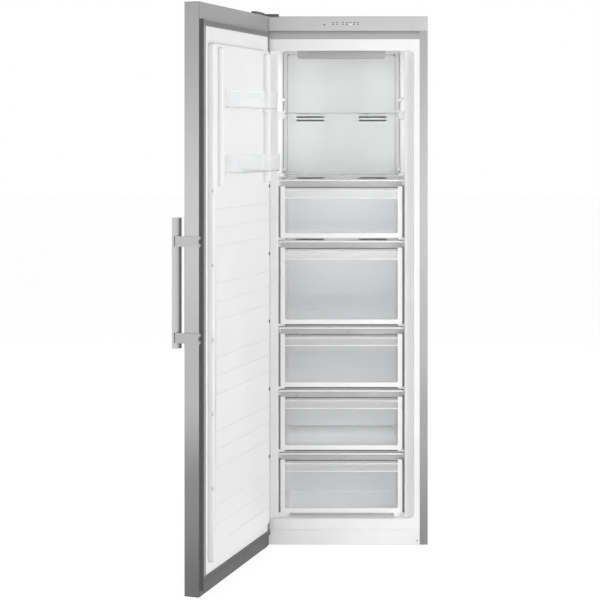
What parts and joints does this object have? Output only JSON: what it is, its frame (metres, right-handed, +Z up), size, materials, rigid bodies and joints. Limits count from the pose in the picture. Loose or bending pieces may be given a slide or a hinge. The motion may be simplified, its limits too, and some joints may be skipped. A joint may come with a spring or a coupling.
{
  "type": "upright freezer",
  "caption": "Tall upright freezer with its door open: clear drawers, glass shelves, clear door racks, bar handle.",
  "frame": {"origin": "Centre of the footprint on the floor, with the door standing open as in the picture.", "axes": "+Z is up. -Y is the front, where the drawers slide out. +X is to the right, seen from the front."},
  "size_m": [0.8164, 1.1794, 1.8376],
  "materials": {
    "painted_steel": "satin silver-grey paint",
    "white_steel": "satin white paint",
    "zinc_steel": "dull zinc-plated sheet",
    "control_plastic": "satin silver-grey moulding",
    "white_plastic": "smooth white moulding",
    "foam": "fine-celled rigid foam",
    "lamp_plastic": "frosted translucent moulding",
    "coil_aluminium": "plain aluminium",
    "dark_plastic": "fine-grained dark grey moulding",
    "shelf_glass": "clear toughened glass",
    "compressor_black": "semi-gloss black paint",
    "copper_line": "plain drawn copper",
    "door_steel": "fine vertical brushed finish",
    "cap_plastic": "satin mid-grey moulding",
    "gasket_rubber": "soft matt grey seal",
    "clear_plastic": "clear polished moulding",
    "handle_steel": "satin steel bar"
  },
  "bodies": {
    "cabinet": {"side_panel_left": "painted_steel", "side_panel_right": "painted_steel", "top_panel": "painted_steel", "rear_panel": "painted_steel", "base_pan": "zinc_steel", "compressor_carrier": "zinc_steel", "lower_front_rail": "white_steel", "upper_front_rail": "painted_steel", "control_panel": "control_plastic", "inner_liner": "white_plastic", "cabinet_foam": "foam", "evaporator_cover": "white_plastic", "interior_lamp": "lamp_plastic", "evaporator_coil": "coil_aluminium", "fan_motor": "compressor_black", "glass_shelf_lower": "shelf_glass", "glass_shelf_upper": "shelf_glass", "shelf_clip_lower_left": "white_plastic", "shelf_clip_lower_right": "white_plastic", "shelf_clip_upper_left": "white_plastic", "shelf_clip_upper_right": "white_plastic", "compressor": "compressor_black", "drip_tray": "dark_plastic", "discharge_tube": "copper_line", "suction_tube": "copper_line", "mains_inlet": "dark_plastic", "top_hinge": "zinc_steel", "top_hinge_cover": "dark_plastic", "lower_hinge": "zinc_steel", "front_foot_left": "dark_plastic", "front_foot_right": "dark_plastic", "roller_bracket_left": "zinc_steel", "roller_bracket_right": "zinc_steel"},
    "fan": {"fan_blade": "dark_plastic"},
    "roller_left": {"rear_roller_left": "dark_plastic"},
    "roller_right": {"rear_roller_right": "dark_plastic"},
    "door": {"door_skin": "door_steel", "door_foam": "foam", "door_liner": "white_plastic", "door_gasket": "gasket_rubber", "door_top_cap": "cap_plastic", "door_bottom_cap": "cap_plastic", "handle_bar": "handle_steel", "handle_bracket_upper": "handle_steel", "handle_bracket_lower": "handle_steel", "hinge_bush_upper": "dark_plastic", "hinge_bush_lower": "dark_plastic", "door_hinge_cap": "dark_plastic", "door_rack_lower": "clear_plastic", "door_rack_upper": "clear_plastic"},
    "drawer_1": {"drawer_1_front": "clear_plastic", "drawer_1_basket": "clear_plastic"},
    "drawer_2": {"drawer_2_front": "clear_plastic", "drawer_2_basket": "clear_plastic"},
    "drawer_3": {"drawer_3_front": "clear_plastic", "drawer_3_basket": "clear_plastic"},
    "drawer_4": {"drawer_4_front": "clear_plastic", "drawer_4_basket": "clear_plastic"},
    "drawer_5": {"drawer_5_front": "clear_plastic", "drawer_5_basket": "clear_plastic"}
  },
  "joints": [
    {"name": "door_hinge", "type": "hinge", "parent": "cabinet", "child": "door", "pos_m": [-0.16678, -0.03134, 0.91], "axis": [0, 0, -1], "range_deg": [-108, 7]},
    {"name": "drawer_1_slide", "type": "slide", "parent": "cabinet", "child": "drawer_1", "axis": [0, -1, 0], "range_m": [0, 0.33]},
    {"name": "drawer_2_slide", "type": "slide", "parent": "cabinet", "child": "drawer_2", "axis": [0, -1, 0], "range_m": [0, 0.33]},
    {"name": "drawer_3_slide", "type": "slide", "parent": "cabinet", "child": "drawer_3", "axis": [0, -1, 0], "range_m": [0, 0.33]},
    {"name": "drawer_4_slide", "type": "slide", "parent": "cabinet", "child": "drawer_4", "axis": [0, -1, 0], "range_m": [0, 0.33]},
    {"name": "drawer_5_slide", "type": "slide", "parent": "cabinet", "child": "drawer_5", "axis": [0, -1, 0], "range_m": [0, 0.26]},
    {"name": "fan_spin", "type": "hinge", "parent": "cabinet", "child": "fan", "pos_m": [0.11071, 0.47867, 1.135], "axis": [0, 1, 0], "continuous": true},
    {"name": "rear_roller_left_spin", "type": "hinge", "parent": "cabinet", "child": "roller_left", "pos_m": [-0.13928, 0.54366, 0.013], "axis": [1, 0, 0], "continuous": true},
    {"name": "rear_roller_right_spin", "type": "hinge", "parent": "cabinet", "child": "roller_right", "pos_m": [0.36072, 0.54366, 0.013], "axis": [1, 0, 0], "continuous": true}
  ]
}
